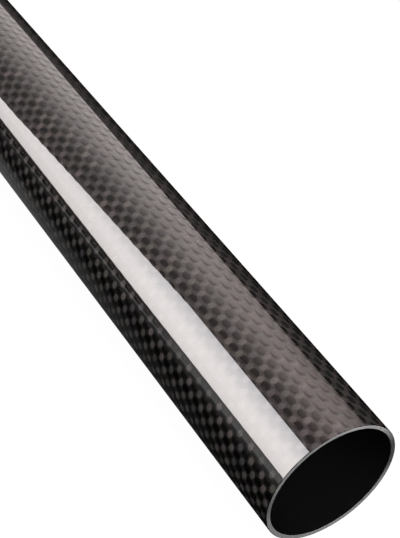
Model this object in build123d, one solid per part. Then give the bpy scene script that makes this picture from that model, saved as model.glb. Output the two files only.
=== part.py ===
from build123d import *

import os

# Carbon fibre tube: a length of round roll-wrapped stock, thin-walled and open at both ends.
#
# The tube is one piece. Plies of carbon cloth are wound on a polished mandrel, cured, drawn off
# and clear coated, so the bore is straight and smooth and the outside is a true cylinder. The
# stock is sawn square to length, and its sawn edges are eased so that they don't splinter.
#
# The tube lies on a level floor. Its axis runs along X, and the origin is on the floor under the
# middle of its length. Sizes are in millimetres.

# Sizes that the stock is ordered by
outside_diameter = 30.0  # over the clear coat, the size that a clamp grips
wall = 1.0  # all plies and the clear coat together
length = 300.0  # from one sawn end to the other

# Sawn edges, eased by hand after the cut
outer_edge_radius = 0.15  # rounded with fine paper where the coat meets the sawn face
bore_edge_chamfer = 0.10  # broken with a deburring blade

# What follows from them
outer_radius = outside_diameter / 2
bore_radius = outer_radius - wall
axis_height = outer_radius  # the tube rests on its lowest line


def wall_section():
    """The wall cut lengthwise, above the axis: a long thin strip with its four corners eased."""
    strip = Plane.XZ * Pos(0, bore_radius + wall / 2) * Rectangle(length, wall)
    outer_corners = strip.vertices().group_by(Axis.Z)[-1]
    strip = fillet(outer_corners, outer_edge_radius)
    bore_corners = strip.vertices().group_by(Axis.Z)[0]
    return chamfer(bore_corners, bore_edge_chamfer)


def tube():
    """The wall turned about the tube's axis, then raised so that it lies on the floor."""
    turned = revolve(wall_section(), Axis.X, 360)
    return Pos(0, 0, axis_height) * turned


os.makedirs("parts", exist_ok=True)
export_step(tube(), "parts/tube.step")
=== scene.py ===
import math

import bpy
from mathutils import Matrix, Vector


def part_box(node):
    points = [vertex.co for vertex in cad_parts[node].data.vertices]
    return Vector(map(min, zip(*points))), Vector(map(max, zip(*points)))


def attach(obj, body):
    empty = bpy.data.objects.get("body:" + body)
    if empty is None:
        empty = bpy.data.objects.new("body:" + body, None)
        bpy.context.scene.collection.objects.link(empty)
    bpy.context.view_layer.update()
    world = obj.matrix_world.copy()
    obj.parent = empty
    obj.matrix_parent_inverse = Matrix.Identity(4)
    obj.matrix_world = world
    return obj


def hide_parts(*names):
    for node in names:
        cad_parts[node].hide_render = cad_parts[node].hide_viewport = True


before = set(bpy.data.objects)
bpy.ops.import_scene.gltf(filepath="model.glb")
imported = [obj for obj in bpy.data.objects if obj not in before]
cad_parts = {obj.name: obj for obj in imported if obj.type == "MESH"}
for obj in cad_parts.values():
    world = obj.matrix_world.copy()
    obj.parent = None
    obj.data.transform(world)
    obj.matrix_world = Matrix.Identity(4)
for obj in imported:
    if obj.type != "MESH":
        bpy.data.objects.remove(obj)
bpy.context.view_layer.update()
mm = 0.001

# The tube's size comes from the frame: it lies along X, and its near end is at +X
tubeLow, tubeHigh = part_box("tube")
nearX, farX = tubeHigh.x, tubeLow.x
tubeRadius = (tubeHigh.z - tubeLow.z) / 2
axisHeight = (tubeHigh.z + tubeLow.z) / 2

# Short forms for node trees, where a value is a number, a colour or another node's socket


def plug(tree, socket, value):
    if isinstance(value, bpy.types.NodeSocket):
        tree.links.new(value, socket)
    else:
        socket.default_value = value


def setInputs(tree, node, **inputs):
    # underscores in an input's name stand for its spaces
    for name, value in inputs.items():
        plug(tree, node.inputs[name.replace("_", " ")], value)


def newNode(tree, kind, settings=None, **inputs):
    node = tree.nodes.new(kind)
    for name, value in (settings or {}).items():
        setattr(node, name, value)
    setInputs(tree, node, **inputs)
    return node


def addSockets(tree, way, kind, names):
    for name in names:
        tree.interface.new_socket(name=name, in_out=way, socket_type="NodeSocket" + kind)


def calc(tree, operation, *values):
    node = newNode(tree, "ShaderNodeMath", {"operation": operation})
    for socket, value in zip(node.inputs, values):
        plug(tree, socket, value)
    return node.outputs[0]


def plus(tree, first, second):
    return calc(tree, "ADD", first, second)


def minus(tree, first, second):
    return calc(tree, "SUBTRACT", first, second)


def times(tree, first, second):
    return calc(tree, "MULTIPLY", first, second)


def over(tree, first, second):
    return calc(tree, "DIVIDE", first, second)


def smoothBetween(tree, value, low, high):
    # 0 below low, 1 above high, eased in between
    node = newNode(tree, "ShaderNodeMapRange", {"interpolation_type": "SMOOTHSTEP"},
                   Value=value, From_Min=low, From_Max=high)
    return node.outputs[0]


def separate(tree, vector):
    return newNode(tree, "ShaderNodeSeparateXYZ", Vector=vector).outputs


def combine(tree, x, y, z):
    return newNode(tree, "ShaderNodeCombineXYZ", X=x, Y=y, Z=z).outputs[0]


def mixColours(tree, factor, first, second, blend="MIX"):
    node = newNode(tree, "ShaderNodeMix", {"data_type": "RGBA", "blend_type": blend})
    plug(tree, node.inputs[0], factor)
    plug(tree, node.inputs[6], first)
    plug(tree, node.inputs[7], second)
    return node.outputs[2]


def multiplyColours(tree, first, second):
    return mixColours(tree, 1.0, first, second, "MULTIPLY")


def addColours(tree, first, second):
    return mixColours(tree, 1.0, first, second, "ADD")


def ramp(tree, value, stops):
    # stops are (value, number or colour) in rising order, and the result is a colour
    low, high = stops[0][0], stops[-1][0]
    share = newNode(tree, "ShaderNodeMapRange", Value=value, From_Min=low, From_Max=high).outputs[0]
    node = newNode(tree, "ShaderNodeValToRGB", Fac=share)
    elements = node.color_ramp.elements
    for index, (place, colour) in enumerate(stops):
        if 0 < index < len(stops) - 1:
            element = elements.new((place - low) / (high - low))
        else:
            element = elements[-1 if index else 0]
        shown = colour if isinstance(colour, tuple) else (colour, colour, colour)
        element.color = (*shown, 1.0)
    return node.outputs[0]


def numberRamp(tree, value, stops, top):
    # the ramp itself holds shares of top
    shares = [(place, number / top) for place, number in stops]
    return times(tree, ramp(tree, value, shares), top)


# The wall: strips that run round the tube, joined at their edges

tubeWall = {
    "wall": 1.0 * mm,
    "outerEdgeRadius": 0.15 * mm,
    "boreChamfer": 0.10 * mm,
    "supportLoop": 0.06 * mm,  # a narrow strip that keeps the shading of the long skin straight
    "towsAround": 48,
    "towPitch": 2.0 * mm,
    "skewTows": 2.0,  # the cloth is wound this far off square in one turn
    "crowdedTows": 1.322,  # extra tows near the near end, where they lie closer together
    "crowdedLength": 25.8 * mm,  # how soon that fades
    "firstRow": -1.2327,  # the weave's place along the tube and round it
    "firstColumn": 3.42,
    "stepsPerTow": 3,
    "weaveRelief": 0.0025 * mm,  # how far the weave still shows through the coat, each way
    "boreRings": 24,
    "edgeRings": 4,  # steps of a rounding and of a sawn face
    "mergeWithin": 0.004 * mm,
    "sharpFrom": 0.6,  # edges that turn more than this, in radians, stay sharp
}

# the cloth's inputs in both trees, and where their values are
clothInputs = {
    "Tow Pitch": "towPitch",
    "Tows Around": "towsAround",
    "Skew Tows": "skewTows",
    "Crowded Tows": "crowdedTows",
    "Crowded Length": "crowdedLength",
    "First Row": "firstRow",
    "First Column": "firstColumn",
}


def makeStripTree():
    # one strip of the wall, turned about the axis; its grid counts the weave in tows
    tree = bpy.data.node_groups.new("turnedStrip", "GeometryNodeTree")
    addSockets(tree, "INPUT", "Float", ("From X", "From Radius", "To X", "To Radius", "Rounded",
                                        "Relief", "Axis Height", "Near End", *clothInputs))
    addSockets(tree, "INPUT", "Int", ("Rings", "Steps Around"))
    addSockets(tree, "INPUT", "Material", ("Material",))
    addSockets(tree, "OUTPUT", "Geometry", ("Geometry",))
    given = tree.nodes.new("NodeGroupInput").outputs

    grid = newNode(tree, "GeometryNodeMeshGrid", Size_X=1.0, Size_Y=1.0,
                   Vertices_X=plus(tree, given["Rings"], 1.0),
                   Vertices_Y=plus(tree, given["Steps Around"], 1.0))
    along, around, _ = separate(tree, tree.nodes.new("GeometryNodeInputPosition").outputs[0])
    along = plus(tree, along, 0.5)
    around = plus(tree, around, 0.5)

    def between(low, high, share):
        return calc(tree, "MULTIPLY_ADD", minus(tree, high, low), share, low)

    # a straight strip goes evenly from one edge to the other, a rounded one by a quarter turn
    quarter = times(tree, along, math.pi / 2)
    roundX = calc(tree, "SINE", quarter)
    roundRadius = minus(tree, 1.0, calc(tree, "COSINE", quarter))
    shareX = between(along, roundX, given["Rounded"])
    shareRadius = between(along, roundRadius, given["Rounded"])
    x = between(given["From X"], given["To X"], shareX)
    radius = between(given["From Radius"], given["To Radius"], shareRadius)

    # rows are counted from the near end, where the tows lie closer together, and they climb as
    # they go round, because the cloth is wound a little off square
    fromEnd = minus(tree, given["Near End"], x)
    evenTows = over(tree, fromEnd, given["Tow Pitch"])
    fading = calc(tree, "EXPONENT", over(tree, times(tree, fromEnd, -1.0), given["Crowded Length"]))
    crowded = times(tree, minus(tree, 1.0, fading), given["Crowded Tows"])
    towsRound = calc(tree, "MULTIPLY_ADD", around, given["Tows Around"], given["First Column"])
    climb = times(tree, over(tree, towsRound, given["Tows Around"]), given["Skew Tows"])
    towsAlong = plus(tree, plus(tree, evenTows, crowded), plus(tree, climb, given["First Row"]))

    # the skin is a little higher over each float
    crownAlong = calc(tree, "COSINE", times(tree, towsAlong, math.pi))
    crownRound = calc(tree, "COSINE", times(tree, towsRound, math.pi))
    crown = times(tree, crownAlong, crownRound)
    radius = calc(tree, "MULTIPLY_ADD", crown, given["Relief"], radius)

    angle = times(tree, around, math.tau)
    y = times(tree, radius, calc(tree, "SINE", angle))
    z = plus(tree, times(tree, radius, calc(tree, "COSINE", angle)), given["Axis Height"])

    # the weave is stored in tows, so that it follows the surface and closes on itself
    tows = newNode(tree, "GeometryNodeStoreNamedAttribute",
                   {"data_type": "FLOAT2", "domain": "CORNER"},
                   Geometry=grid.outputs["Mesh"], Name="towGrid",
                   Value=combine(tree, towsAlong, towsRound, 0.0))
    placed = newNode(tree, "GeometryNodeSetPosition", Geometry=tows.outputs[0],
                     Position=combine(tree, x, y, z))
    finished = newNode(tree, "GeometryNodeSetMaterial", Geometry=placed.outputs[0],
                       Material=given["Material"])
    newNode(tree, "NodeGroupOutput", Geometry=finished.outputs[0])
    return tree


def listStrips():
    # each strip: name, (x, radius) where it starts and ends, rounded or not, rings, material
    size = tubeWall
    skin, bore = tubeRadius, tubeRadius - size["wall"]
    rounding, chamfer, loop = size["outerEdgeRadius"], size["boreChamfer"], size["supportLoop"]
    edgeRings = size["edgeRings"]
    skinRings = round((nearX - farX) / size["towPitch"] * size["stepsPerTow"])
    strips = [("skin", (farX + rounding + loop, skin), (nearX - rounding - loop, skin),
               0.0, skinRings, "weave")]
    for name, endX, way in (("near", nearX, 1), ("far", farX, -1)):
        corner = (endX - way * rounding, skin)
        outerEdge, boreEdge = (endX, skin - rounding), (endX, bore + chamfer)
        strips += [
            (name + "Loop", (corner[0] - way * loop, skin), corner, 0.0, 1, "weave"),
            (name + "Rounding", corner, outerEdge, 1.0, edgeRings, "weave"),
            (name + "Face", outerEdge, boreEdge, 0.0, edgeRings, "sawn"),
            (name + "Chamfer", boreEdge, (endX - way * chamfer, bore), 0.0, 1, "sawn"),
        ]
    strips.append(("bore", (nearX - chamfer, bore), (farX + chamfer, bore),
                   0.0, size["boreRings"], "bore"))
    return strips


def makeWallTree(materials):
    tree = bpy.data.node_groups.new("wovenTube", "GeometryNodeTree")
    addSockets(tree, "INPUT", "Float", (*clothInputs, "Weave Relief"))
    addSockets(tree, "INPUT", "Int", ("Steps Per Tow",))
    addSockets(tree, "OUTPUT", "Geometry", ("Geometry",))
    given = tree.nodes.new("NodeGroupInput").outputs
    stepsAround = times(tree, given["Tows Around"], given["Steps Per Tow"])
    stripTree = makeStripTree()
    join = tree.nodes.new("GeometryNodeJoinGeometry")
    for name, start, end, rounded, rings, material in listStrips():
        strip = newNode(tree, "GeometryNodeGroup", {"node_tree": stripTree, "label": name},
                        From_X=start[0], From_Radius=start[1], To_X=end[0], To_Radius=end[1],
                        Rounded=rounded, Rings=rings, Steps_Around=stepsAround,
                        Relief=given["Weave Relief"] if name == "skin" else 0.0,
                        Axis_Height=axisHeight, Near_End=nearX, Material=materials[material])
        for socket in clothInputs:
            plug(tree, strip.inputs[socket], given[socket])
        shown = strip.outputs[0]
        if name.startswith("far"):  # these are listed inwards too, so they are inside out
            shown = newNode(tree, "GeometryNodeFlipFaces", Mesh=shown).outputs[0]
        tree.links.new(shown, join.inputs[0])
    merged = newNode(tree, "GeometryNodeMergeByDistance", Geometry=join.outputs[0],
                     Distance=tubeWall["mergeWithin"])
    smooth = newNode(tree, "GeometryNodeSetShadeSmooth", Geometry=merged.outputs[0])
    turns = tree.nodes.new("GeometryNodeInputMeshEdgeAngle").outputs[0]
    crease = newNode(tree, "FunctionNodeCompare",
                     {"data_type": "FLOAT", "operation": "GREATER_THAN"},
                     A=turns, B=tubeWall["sharpFrom"])
    sharp = newNode(tree, "GeometryNodeSetShadeSmooth", {"domain": "EDGE"},
                    Geometry=smooth.outputs[0], Selection=crease.outputs[0], Shade_Smooth=False)
    real = newNode(tree, "GeometryNodeRealizeInstances", Geometry=sharp.outputs[0])
    newNode(tree, "NodeGroupOutput", Geometry=real.outputs[0])
    return tree


def makeTube(materials):
    tree = makeWallTree(materials)
    base = bpy.data.objects.new("wallStart", bpy.data.meshes.new("wallStart"))
    bpy.context.scene.collection.objects.link(base)
    modifier = base.modifiers.new("wovenTube", "NODES")
    modifier.node_group = tree
    values = {socket: float(tubeWall[size]) for socket, size in clothInputs.items()}
    values["Weave Relief"] = tubeWall["weaveRelief"]
    values["Steps Per Tow"] = tubeWall["stepsPerTow"]
    for item in tree.interface.items_tree:
        if item.in_out == "INPUT":
            modifier[item.identifier] = values[item.name]
    bpy.context.view_layer.update()
    depsgraph = bpy.context.evaluated_depsgraph_get()
    mesh = bpy.data.meshes.new_from_object(base.evaluated_get(depsgraph), depsgraph=depsgraph,
                                           preserve_all_data_layers=True)
    base.modifiers.clear()
    bpy.data.objects.remove(base)
    mesh.name = "wovenTube"
    piece = bpy.data.objects.new("wovenTube", mesh)
    bpy.context.scene.collection.objects.link(piece)
    print("tube:", len(mesh.vertices), "points,", len(mesh.polygons), "faces,",
          "layers", [layer.name for layer in mesh.uv_layers])
    return piece


def newMaterial(name):
    material = bpy.data.materials.new(name)
    material.use_nodes = True
    tree = material.node_tree
    return material, tree, tree.nodes["Principled BSDF"]


def objectPlace(tree):
    return separate(tree, tree.nodes.new("ShaderNodeTexCoord").outputs["Object"])


# The outer ply, seen through the clear coat

weaveLook = {
    "warpColour": (0.0090, 0.0074, 0.0070, 1.0),  # tows along the tube, which shine like dark metal
    "weftColour": (0.062, 0.0580, 0.0560, 1.0),  # tows round the tube, at the top of a float
    "weftEndColour": (0.0085, 0.0080, 0.0078, 1.0),  # and where it dips under the next tow
    # Light and shade from the stage are painted into the weave at places round the tube, so it
    # doesn't look the same all round. The weave doesn't look the same all round, probably because
    # of the light. Each place is given in tows round the tube, by its middle, how far it reaches
    # to either side and how far out it has faded.
    "paintedLightPlace": (4.67, 5.0, 10.0),  # painted light: the weft's dips are lighter on this side
    "paintedLightWeftEndColour": (0.040, 0.0340, 0.0322, 1.0),
    "paintedSheenPlace": (5.35, 1.2, 2.4),  # painted sheen: the warp shines more here
    "paintedSheenWarpColour": (0.066, 0.0615, 0.060, 1.0),
    "paintedShadePlace": (5.35, 2.2, 4.0),  # painted shade: the coat shines less in a crescent beside each warp float
    "paintedShadeCoat": 0.54,  # the share of its weight that it lacks there
    "paintedShadeCrownPlace": (10.7, 2.6, 4.2),  # painted shade: the tops of the weft floats don't stand out
    "paintedLightCrownPlaces": ((0.93, 1.2, 2.8), (43.3, 0.5, 1.7)),  # painted light: here they stand out more
    "paintedLightCrownColour": (0.086, 0.0768, 0.0735, 1.0),
    # Sizes of a float, in tows
    "warpFloatAlong": 0.58,  # half the size of a warp float's oval
    "warpFloatAround": 0.39,
    "ovalPower": 2.4,  # 2 is an ellipse, and more is squarer
    "edgeSoftness": 0.28,
    "weftCrownAlong": 0.42,  # half the size of the bright oval on a weft float
    "weftCrownAround": 0.50,
    "crownFade": (0.25, 1.2),  # where it starts to fade and where it has, 1 at its edge
    # The crescent of painted shade comes in over the first pair and fades out over the second,
    # where 0 is the float's middle and 1 its edge
    "crescentInside": (0.05, 1.0),
    "crescentOutside": (1.5, 4.2),
    "crescentLean": (-0.80, -0.60),  # which side it lies on, round the tube and along it
    "crescentTips": (0.0, 1.1),  # how far to that side it comes in
    "weftArch": 0.8,  # how round a weft tow is, 1 where it falls to nothing at its edges
    "crimp": 0.09 * mm,  # how deep the weave looks
    "floatVariation": 0.28,  # how much lighter or darker one float is than the next
    "fibreContrast": 0.25,
    "fibresAcross": 16.0,  # in one tow
    "fibresAlong": 1.3,
    "fibreShift": 60.0,  # how far the fibres' pattern moves from float to float
    "tint": 0.10,  # how much each float has a colour of its own
    "roughness": 0.20,
    "specular": 0.0,
    "coatIor": 2.4,
    "coatRoughness": 0.018,
}


def makeWeaveGroup():
    # plain weave: a warp float is an oval in every other cell, and the weft shows all round it
    look = weaveLook
    tree = bpy.data.node_groups.new("plainWeave", "ShaderNodeTree")
    addSockets(tree, "INPUT", "Vector", ("Tows",))
    addSockets(tree, "INPUT", "Float", ("Float Along", "Float Around", "Crown Along",
                                        "Crown Around", "Softness", "Tows Around", "Skew Tows"))
    addSockets(tree, "OUTPUT", "Float", ("Weft", "Weft Crown", "Crescent", "Height", "Fibres",
                                         "Float Shade"))
    addSockets(tree, "OUTPUT", "Color", ("Float Tint",))
    given = tree.nodes.new("NodeGroupInput").outputs
    along, around, _ = separate(tree, given["Tows"])
    row = calc(tree, "ROUND", along)
    column = calc(tree, "ROUND", around)
    offAlong = minus(tree, along, row)
    offAround = minus(tree, around, column)
    besideRow = calc(tree, "ABSOLUTE", offAlong)
    besideColumn = calc(tree, "ABSOLUTE", offAround)
    warpOnTop = calc(tree, "PINGPONG", plus(tree, row, column), 1.0)  # 1 where it is, 0 elsewhere
    weftOnTop = minus(tree, 1.0, warpOnTop)

    # how far this point is from the middle of the nearest warp float, 1 at the float's edge
    toFloat = calc(tree, "ABSOLUTE", minus(tree, weftOnTop, besideRow))
    shareAlong = over(tree, toFloat, given["Float Along"])
    shareAround = over(tree, besideColumn, given["Float Around"])
    fromMiddle = plus(tree, calc(tree, "POWER", shareAlong, look["ovalPower"]),
                      calc(tree, "POWER", shareAround, look["ovalPower"]))
    weft = smoothBetween(tree, fromMiddle, minus(tree, 1.0, given["Softness"]),
                         plus(tree, 1.0, given["Softness"]))

    # the crescent of painted shade lies on one side of each warp float
    pastFloat = minus(tree, offAlong, times(tree, weftOnTop, calc(tree, "SIGN", offAlong)))
    leanAround, leanAlong = look["crescentLean"]
    lean = plus(tree, times(tree, over(tree, offAround, given["Float Around"]), leanAround),
                times(tree, over(tree, pastFloat, given["Float Along"]), leanAlong))
    notOutside = minus(tree, 1.0, smoothBetween(tree, fromMiddle, *look["crescentOutside"]))
    rim = times(tree, smoothBetween(tree, fromMiddle, *look["crescentInside"]), notOutside)
    crescent = times(tree, rim, smoothBetween(tree, lean, *look["crescentTips"]))

    # the weft rises to the top of its float and dips under the next warp tow
    rising = calc(tree, "MULTIPLY_ADD", warpOnTop, -2.0, 1.0)
    lift = times(tree, rising, calc(tree, "COSINE", times(tree, offAround, math.pi)))
    arch = calc(tree, "COSINE", times(tree, offAlong, math.pi * look["weftArch"]))
    weftDome = times(tree, calc(tree, "MULTIPLY_ADD", lift, 0.5, 0.5), arch)
    warpDome = calc(tree, "MAXIMUM", minus(tree, 1.0, fromMiddle), 0.0)
    height = calc(tree, "MULTIPLY_ADD", weft, weftDome,
                  times(tree, minus(tree, 1.0, weft), warpDome))
    crownAlong = calc(tree, "POWER", over(tree, besideRow, given["Crown Along"]), 2.0)
    crownAround = calc(tree, "POWER", over(tree, besideColumn, given["Crown Around"]), 2.0)
    beyondCrown = smoothBetween(tree, plus(tree, crownAlong, crownAround), *look["crownFade"])
    crown = times(tree, minus(tree, 1.0, beyondCrown), weftOnTop)

    # one number and one colour for each float, the same on both sides of the winding's start
    turn = calc(tree, "FLOOR", over(tree, column, given["Tows Around"]))
    ownColumn = minus(tree, column, times(tree, turn, given["Tows Around"]))
    ownRow = minus(tree, row, times(tree, turn, given["Skew Tows"]))
    chance = newNode(tree, "ShaderNodeTexWhiteNoise", {"noise_dimensions": "2D"},
                     Vector=combine(tree, ownRow, ownColumn, 0.0))
    shade = chance.outputs["Value"]

    # fibres run the length of each float
    fine, coarse = look["fibresAcross"], look["fibresAlong"]
    shift = times(tree, shade, look["fibreShift"])
    weftFibres = combine(tree, times(tree, offAlong, fine), times(tree, offAround, coarse), shift)
    warpFibres = combine(tree, times(tree, offAlong, coarse), times(tree, offAround, fine), shift)
    place = newNode(tree, "ShaderNodeMix", {"data_type": "VECTOR"})
    plug(tree, place.inputs[0], weft)
    plug(tree, place.inputs[4], warpFibres)
    plug(tree, place.inputs[5], weftFibres)
    fibres = newNode(tree, "ShaderNodeTexNoise", Vector=place.outputs[1], Scale=1.0, Detail=2.0)

    newNode(tree, "NodeGroupOutput", Weft=weft, Weft_Crown=crown, Crescent=crescent, Height=height,
            Fibres=fibres.outputs[0], Float_Shade=shade, Float_Tint=chance.outputs["Color"])
    return tree


def makeWeaveMaterial():
    look = weaveLook
    material, tree, shader = newMaterial("coatedPlainWeave")
    uv = newNode(tree, "ShaderNodeUVMap", {"uv_map": "towGrid"}).outputs[0]
    towsAround = float(tubeWall["towsAround"])
    weave = newNode(tree, "ShaderNodeGroup", {"node_tree": makeWeaveGroup()},
                    Tows=uv, Float_Along=look["warpFloatAlong"],
                    Float_Around=look["warpFloatAround"], Softness=look["edgeSoftness"],
                    Crown_Along=look["weftCrownAlong"], Crown_Around=look["weftCrownAround"],
                    Tows_Around=towsAround, Skew_Tows=tubeWall["skewTows"]).outputs
    _, towsRound, _ = separate(tree, uv)

    def awayFrom(place):
        # 0 at a place round the tube, 1 away from it
        middle, reach, faded = place
        toMiddle = calc(tree, "PINGPONG", minus(tree, towsRound, middle), towsAround / 2)
        return smoothBetween(tree, toMiddle, reach, faded)

    def giveOrTake(value, share):
        # 1 on average, from a value between 0 and 1
        return calc(tree, "MULTIPLY_ADD", minus(tree, value, 0.5), 2.0 * share, 1.0)

    # painted light: the weft's dips are lighter on one side of the tube
    endColour = mixColours(tree, awayFrom(look["paintedLightPlace"]), look["paintedLightWeftEndColour"],
                           look["weftEndColour"])
    # painted light: the tops of the weft floats are lighter at these places round the tube
    awayFromPaintedLight = 1.0
    for place in look["paintedLightCrownPlaces"]:
        awayFromPaintedLight = times(tree, awayFromPaintedLight, awayFrom(place))
    crownColour = mixColours(tree, awayFromPaintedLight, look["paintedLightCrownColour"], look["weftColour"])
    # painted shade: the tops of the weft floats are not lighter at one place round the tube
    crown = times(tree, weave["Weft Crown"], awayFrom(look["paintedShadeCrownPlace"]))
    weftColour = mixColours(tree, crown, endColour, crownColour)
    # painted sheen: the warp's metal colour is brighter on one side of the tube
    warpColour = mixColours(tree, awayFrom(look["paintedSheenPlace"]), look["paintedSheenWarpColour"],
                            look["warpColour"])
    colour = mixColours(tree, weave["Weft"], warpColour, weftColour)

    # floats and fibres differ a little from each other
    shade = times(tree, giveOrTake(weave["Float Shade"], look["floatVariation"]),
                  giveOrTake(weave["Fibres"], look["fibreContrast"]))
    colour = multiplyColours(tree, colour, combine(tree, shade, shade, shade))
    tint = mixColours(tree, look["tint"], (1, 1, 1, 1), weave["Float Tint"])
    colour = multiplyColours(tree, colour, tint)

    # painted shade: the coat is thinner in a crescent beside each warp float on one side of the
    # tube, so it reflects less there
    paintedShade = times(tree, minus(tree, 1.0, awayFrom(look["paintedShadePlace"])), weave["Crescent"])
    coat = calc(tree, "MULTIPLY_ADD", paintedShade, -look["paintedShadeCoat"], 1.0)
    bump = newNode(tree, "ShaderNodeBump", Height=weave["Height"], Strength=1.0,
                   Distance=look["crimp"])
    setInputs(tree, shader, Base_Color=colour, Metallic=minus(tree, 1.0, weave["Weft"]),
              Roughness=look["roughness"], Specular_IOR_Level=look["specular"],
              Normal=bump.outputs[0], Coat_Weight=coat, Coat_IOR=look["coatIor"],
              Coat_Roughness=look["coatRoughness"])
    return material


sawnLook = {
    "plyColour": (0.20, 0.20, 0.20, 1.0),
    "darkPlyColour": (0.12, 0.12, 0.12, 1.0),
    "plies": 5,
    # painted light and shade: how light the face is, by degrees from the top towards +Y
    "paintedLightAndShade": ((-180, 1.05), (-100, 0.90), (-84, 0.50), (-74, 0.52), (-60, 1.0), (-20, 1.05),
                   (0, 1.3), (18, 1.65), (50, 1.45), (62, 0.9), (74, 0.30), (100, 0.30),
                   (115, 0.8), (130, 1.0), (180, 1.05)),
    "roughness": 0.55,
    "specular": 0.3,
}


def makeSawnMaterial():
    look = sawnLook
    material, tree, shader = newMaterial("sawnLaminate")
    _, y, z = objectPlace(tree)
    z = minus(tree, z, axisHeight)
    radius = calc(tree, "SQRT", plus(tree, times(tree, y, y), times(tree, z, z)))
    depth = over(tree, minus(tree, tubeRadius, radius), tubeWall["wall"])
    wave = calc(tree, "COSINE", times(tree, depth, look["plies"] * math.tau))
    ply = calc(tree, "MULTIPLY_ADD", wave, 0.5, 0.5)
    colour = mixColours(tree, ply, look["darkPlyColour"], look["plyColour"])
    angle = calc(tree, "DEGREES", calc(tree, "ARCTAN2", y, z))
    # painted light and shade round the face
    colour = multiplyColours(tree, colour, ramp(tree, angle, look["paintedLightAndShade"]))
    setInputs(tree, shader, Base_Color=colour, Roughness=look["roughness"],
              Specular_IOR_Level=look["specular"])
    return material


boreLook = {
    "colour": (0.0036, 0.0036, 0.0037, 1.0),
    "dragColour": (0.0056, 0.0056, 0.0057, 1.0),  # faint lengthwise marks from the mandrel
    "dragsPerMetre": (40, 1400),  # along the tube and across it
    "roughness": 0.58,
    "dragRoughness": 0.42,
    "specular": 0.1,
}


def makeBoreMaterial():
    look = boreLook
    material, tree, shader = newMaterial("boreSkin")
    x, y, z = objectPlace(tree)
    along, across = look["dragsPerMetre"]
    place = combine(tree, times(tree, x, along), times(tree, y, across), times(tree, z, across))
    drags = newNode(tree, "ShaderNodeTexNoise", Vector=place, Scale=1.0, Detail=2.0).outputs[0]
    roughness = calc(tree, "MULTIPLY_ADD", drags, look["dragRoughness"] - look["roughness"],
                     look["roughness"])
    setInputs(tree, shader, Base_Color=mixColours(tree, drags, look["colour"], look["dragColour"]),
              Roughness=roughness, Specular_IOR_Level=look["specular"])
    return material


materials = {"weave": makeWeaveMaterial(), "sawn": makeSawnMaterial(), "bore": makeBoreMaterial()}
print("materials:", ", ".join(materials))
tube = makeTube(materials)
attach(tube, "root")
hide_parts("tube")

# The stage is what the tube's coat mirrors: a table, which only the camera sees white, a softbox
# on the -Y side with a dimmer wall below it, and a curved screen on the +Y side. Places on it are
# in mm, with X from the tube's near end.


def stageMesh(name, points, faces, material):
    mesh = bpy.data.meshes.new(name)
    mesh.from_pydata([tuple(point) for point in points], [], faces)
    mesh.materials.append(material)
    thing = bpy.data.objects.new(name, mesh)
    bpy.context.scene.collection.objects.link(thing)
    return thing


def emptyMaterial(name):
    material = bpy.data.materials.new(name)
    material.use_nodes = True
    tree = material.node_tree
    tree.nodes.clear()
    return material, tree


def stagePlace(tree):
    x, y, z = objectPlace(tree)
    x = times(tree, minus(tree, x, nearX), 1 / mm)
    return x, times(tree, y, 1 / mm), times(tree, z, 1 / mm)


def endInGlow(tree, colour, strength=1.0):
    glow = newNode(tree, "ShaderNodeEmission", Color=colour, Strength=strength)
    newNode(tree, "ShaderNodeOutputMaterial", Surface=glow.outputs[0])


def endForCamera(tree, outputKind, shown, mirrored):
    # the camera sees one shader, and everything else the other
    isCamera = tree.nodes.new("ShaderNodeLightPath").outputs["Is Camera Ray"]
    mix = newNode(tree, "ShaderNodeMixShader", Fac=isCamera)
    tree.links.new(mirrored, mix.inputs[1])
    tree.links.new(shown, mix.inputs[2])
    newNode(tree, outputKind, Surface=mix.outputs[0])


tableLook = {
    "reach": 6.0,  # metres to either side
    "white": 0.95,  # what of its white doesn't depend on the lamps
    "colour": (0.08, 0.08, 0.08, 1.0),
    # Its light as the tube sees it. Close beside the tube, where closeBy says by Y, it goes by the
    # distance from the near end, and what glowAcross says by Y is added to it everywhere.
    "glowAlong": ((-40, 0.000), (10, 0.001), (30, 0.006), (60, 0.020), (100, 0.065), (150, 0.15),
                  (300, 0.24)),
    "closeBy": ((-40, 0.0), (-26, 1.0), (12, 1.0), (26, 0.0)),
    "glowAcross": ((-900, 0.25), (-760, 0.19), (-640, 0.08), (-600, 0.07), (-315, 0.048),
                   (-142, 0.030), (-90, 0.017), (-60, 0.006), (30, 0.001), (54, 0.004),
                   (90, 0.035), (250, 0.05), (420, 0.045), (600, 0.035)),
}


def makeTable():
    look = tableLook
    material, tree = emptyMaterial("whiteTable")
    lit = newNode(tree, "ShaderNodeBsdfDiffuse", Color=look["colour"])
    white = newNode(tree, "ShaderNodeEmission", Strength=look["white"])
    shown = tree.nodes.new("ShaderNodeAddShader")
    tree.links.new(lit.outputs[0], shown.inputs[0])
    tree.links.new(white.outputs[0], shown.inputs[1])
    x, y, _ = stagePlace(tree)
    beside = multiplyColours(tree, ramp(tree, times(tree, x, -1.0), look["glowAlong"]),
                             ramp(tree, y, look["closeBy"]))
    glow = addColours(tree, beside, ramp(tree, y, look["glowAcross"]))
    dim = newNode(tree, "ShaderNodeEmission", Color=glow)
    endForCamera(tree, "ShaderNodeOutputMaterial", shown.outputs[0], dim.outputs[0])
    reach = look["reach"]
    corners = [(-reach, -reach, 0), (reach, -reach, 0), (reach, reach, 0), (-reach, reach, 0)]
    stageMesh("table", corners, [(0, 1, 2, 3)], material)


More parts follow.
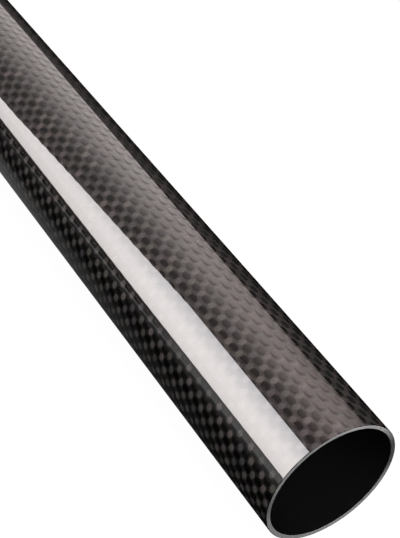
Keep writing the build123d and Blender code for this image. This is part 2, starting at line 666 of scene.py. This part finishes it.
softboxLook = {
    "tilt": 50.0,  # degrees from straight up towards -Y
    "distance": 600 * mm,
    "strength": 4.12,
    "onRough": 0.40,  # how much of it lights what isn't glossy
    "fallOff": ((-1000, 0.80), (-830, 0.84), (-658, 0.93), (-488, 1.02), (-320, 1.02),
                (-200, 0.75), (0, 0.45), (250, 0.30)),  # by X
    # its outline as (X, height up its own plane): the lower edge bows, and a corner is cut
    "outline": ((250, -280), (-420, -283.5), (-560, -287), (-697, -280), (-789, -274), (-886, -267),
                (-1000, -260), (-1000, -34), (-817, 0), (-760, 30), (-709, 91), (-662, 148),
                (-617, 200), (-574, 252), (-532, 322), (250, 315)),
    # its colour by that height, warm below and cooler above
    "colours": ((-294, (0.84, 0.79, 0.78)), (-80, (0.99, 0.94, 0.93)), (30, (1.0, 0.952, 0.942)),
                (160, (0.84, 0.81, 0.815)), (315, (0.68, 0.665, 0.69))),
}


def makeSoftbox():
    look = softboxLook
    tilt = math.radians(look["tilt"])
    facing = Vector((0, -math.sin(tilt), math.cos(tilt)))
    up = Vector((0, math.cos(tilt), math.sin(tilt)))
    centre = facing * look["distance"]
    points = [centre + up * (height * mm) + Vector((nearX + x * mm, 0, 0))
              for x, height in look["outline"]]
    material, tree = emptyMaterial("softboxGlow")
    x, y, z = stagePlace(tree)
    height = plus(tree, times(tree, y, up.y), times(tree, z, up.z))
    colour = multiplyColours(tree, ramp(tree, height, look["colours"]),
                             ramp(tree, x, look["fallOff"]))
    isRough = tree.nodes.new("ShaderNodeLightPath").outputs["Is Diffuse Ray"]
    share = calc(tree, "MULTIPLY_ADD", isRough, look["onRough"] - 1.0, 1.0)
    endInGlow(tree, colour, times(tree, share, look["strength"]))
    return stageMesh("softbox", points, [tuple(range(len(points)))], material)


wallLook = {
    "out": 900 * mm,
    "bottom": 1 * mm,
    "top": 249 * mm,
    "ends": (300, -2200),
    "glow": ((-2200, 0.01), (-1140, 0.01), (-898, 0.015), (-760, 0.03), (-720, 0.09), (-680, 0.24),
             (-600, 0.28), (-500, 0.32), (300, 0.32)),
    "foot": (10, 75),  # it fades in between these heights
    "footGlow": ((-2200, 0.02), (-1000, 0.05), (-600, 0.09), (300, 0.10)),
    # a thin bright line along it: how high it runs and how bright it is
    "lineHeight": ((-2200, 0), (-1124, 2), (-1004, 14), (-890, 21), (-770, 22), (-656, 42),
                   (-546, 62), (300, 80)),
    "lineGlow": ((-2200, 0.04), (-1250, 0.10), (-1124, 0.14), (-1000, 0.20), (-860, 0.25),
                 (-700, 0.24), (-600, 0.17), (-500, 0.10), (300, 0.05)),
    "lineFade": (8, 36),  # this far from its middle it starts to fade, and has faded out
    "mostHeight": 100.0,  # more than any height of the line
}


def makeWall():
    look = wallLook
    material, tree = emptyMaterial("wallGlow")
    x, _, z = stagePlace(tree)
    shown = mixColours(tree, smoothBetween(tree, z, *look["foot"]),
                       ramp(tree, x, look["footGlow"]), ramp(tree, x, look["glow"]))
    lineHeight = numberRamp(tree, x, look["lineHeight"], look["mostHeight"])
    offLine = calc(tree, "ABSOLUTE", minus(tree, z, lineHeight))
    line = mixColours(tree, smoothBetween(tree, offLine, *look["lineFade"]),
                      ramp(tree, x, look["lineGlow"]), (0, 0, 0, 1))
    endInGlow(tree, addColours(tree, shown, line))
    points = [(nearX + x * mm, -look["out"], height)
              for x in look["ends"] for height in (look["bottom"], look["top"])]
    return stageMesh("wall", points, [(0, 1, 3, 2)], material)


screenLook = {
    "radius": 700 * mm,
    "ends": (500, -1900),
    "from": -78.0,  # degrees from straight up, + towards +Y; the softbox stands in front of a part
    "to": 89.6,
    "rows": 40,
    # its glow by those degrees, at two places along it
    "near": -400,
    "nearGlow": ((-78, 0.10), (-12, 0.13), (0, 0.20), (12, 0.44), (24, 0.62), (36, 0.77),
                 (48, 0.76), (60, 0.62), (72, 0.49), (90, 0.42)),
    "nearTint": (1.0, 0.84, 0.82, 1.0),
    "far": -720,
    "farGlow": ((-78, 0.08), (-12, 0.15), (0, 0.25), (12, 0.47), (24, 0.66), (36, 0.81),
                (48, 0.93), (60, 1.07), (72, 1.15), (90, 1.15)),
    "farTint": (0.99, 0.90, 0.885, 1.0),
    # it darkens below a slanting edge, given in degrees above the axis for each X
    "edge": ((-1900, 0.0), (-1100, 1.6), (-930, 3.0), (-810, 5.6), (-680, 8.1), (-540, 10.1),
             (-400, 11.4), (500, 11.4)),
    "mostEdge": 90.0,  # more than any of those
    "edgeSoftness": (-0.8, 2.4),  # it starts to light up and is lit this far above the edge
    "belowEdge": (0.018, 0.017, 0.017, 1.0),
}


def makeScreen():
    # a part of a drum round the tube's axis
    look = screenLook
    points, faces = [], []
    rows = look["rows"]
    for row in range(rows + 1):
        angle = math.radians(look["from"] + (look["to"] - look["from"]) * row / rows)
        points += [(nearX + x * mm, math.sin(angle) * look["radius"],
                    math.cos(angle) * look["radius"] + axisHeight) for x in look["ends"]]
        if row:
            faces.append((2 * row - 2, 2 * row - 1, 2 * row + 1, 2 * row))
    material, tree = emptyMaterial("screenGlow")
    x, y, z = stagePlace(tree)
    angle = calc(tree, "DEGREES", calc(tree, "ARCTAN2", y, minus(tree, z, axisHeight / mm)))
    far = newNode(tree, "ShaderNodeMapRange", Value=x, From_Min=look["near"],
                  From_Max=look["far"]).outputs[0]
    glow = mixColours(tree, far, ramp(tree, angle, look["nearGlow"]),
                      ramp(tree, angle, look["farGlow"]))
    tint = mixColours(tree, far, look["nearTint"], look["farTint"])
    edge = numberRamp(tree, x, look["edge"], look["mostEdge"])
    above = minus(tree, minus(tree, 90.0, angle), edge)
    lit = smoothBetween(tree, above, *look["edgeSoftness"])
    endInGlow(tree, mixColours(tree, lit, look["belowEdge"], multiplyColours(tree, glow, tint)))
    return stageMesh("screen", points, faces, material)


makeTable()
for lamp in (makeSoftbox(), makeWall(), makeScreen()):
    lamp.visible_camera = False

worldLook = {"white": 1.0, "dim": 0.003}  # as the camera sees it, and as all else does


def makeWorld():
    world = bpy.data.worlds.new("studio")
    bpy.context.scene.world = world
    world.use_nodes = True
    tree = world.node_tree
    tree.nodes.clear()
    white, dim = (newNode(tree, "ShaderNodeBackground", Color=(1, 1, 1, 1), Strength=strength)
                  for strength in (worldLook["white"], worldLook["dim"]))
    endForCamera(tree, "ShaderNodeOutputWorld", white.outputs[0], dim.outputs[0])


makeWorld()
print("stage: table, softbox, wall, screen and world")

# Small lamps that the tube doesn't mirror: one lights each sawn end, the others the weave from
# above and from the +Y side. Each aims at a place on the axis, by its X from the near end. Their
# places and sizes are in metres.

fillLamps = {
    "endFill": {"place": (0.9, -0.15, 0.25), "size": 0.5, "power": 6.0, "aim": 0.0},
    "topFill": {"place": (0.55, 0.05, 0.80), "size": 0.4, "power": 30.0, "aim": -0.08},
    "sideFill": {"place": (0.55, 0.55, 0.45), "size": 0.3, "power": 1.4, "aim": -0.08},
    "farFill": {"place": (-0.9, 0.15, 0.16), "size": 0.3, "power": 4.0, "aim": -0.30},
}


def makeFillLamp(name, look):
    data = bpy.data.lights.new(name, "AREA")
    data.shape = "SQUARE"
    data.size = look["size"]
    data.energy = look["power"]
    lamp = bpy.data.objects.new(name, data)
    lamp.location = look["place"]
    aim = Vector((nearX + look["aim"], 0, axisHeight)) - lamp.location
    lamp.rotation_euler = aim.to_track_quat("-Z", "Y").to_euler()
    bpy.context.scene.collection.objects.link(lamp)
    lamp.visible_camera = False
    lamp.visible_glossy = False


for lampName, lampLook in fillLamps.items():
    makeFillLamp(lampName, lampLook)
print("lamps:", ", ".join(fillLamps))

# The camera looks down on the near end from its -Y side
cameraPlace = {
    "fromNearEnd": (114.07 * mm, -97.46 * mm, 202.94 * mm),
    "right": (0.5124, 0.8588, 0.0),
    "up": (-0.6020, 0.3592, 0.7131),
    "lens": 86.6,
    "clip": (0.01, 50.0),
}


def makeCamera():
    data = bpy.data.cameras.new("camera")
    data.lens = cameraPlace["lens"]
    data.clip_start, data.clip_end = cameraPlace["clip"]
    right = Vector(cameraPlace["right"]).normalized()
    up = Vector(cameraPlace["up"]).normalized()
    back = right.cross(up)
    turn = Matrix((right, up, back)).transposed().to_4x4()
    camera = bpy.data.objects.new("camera", data)
    place = Vector((nearX, 0, axisHeight)) + Vector(cameraPlace["fromNearEnd"])
    camera.matrix_world = Matrix.Translation(place) @ turn
    bpy.context.scene.collection.objects.link(camera)
    bpy.context.scene.camera = camera


makeCamera()
print("camera: placed")
bpy.context.scene.view_settings.view_transform = "Standard"

print("scene: done")
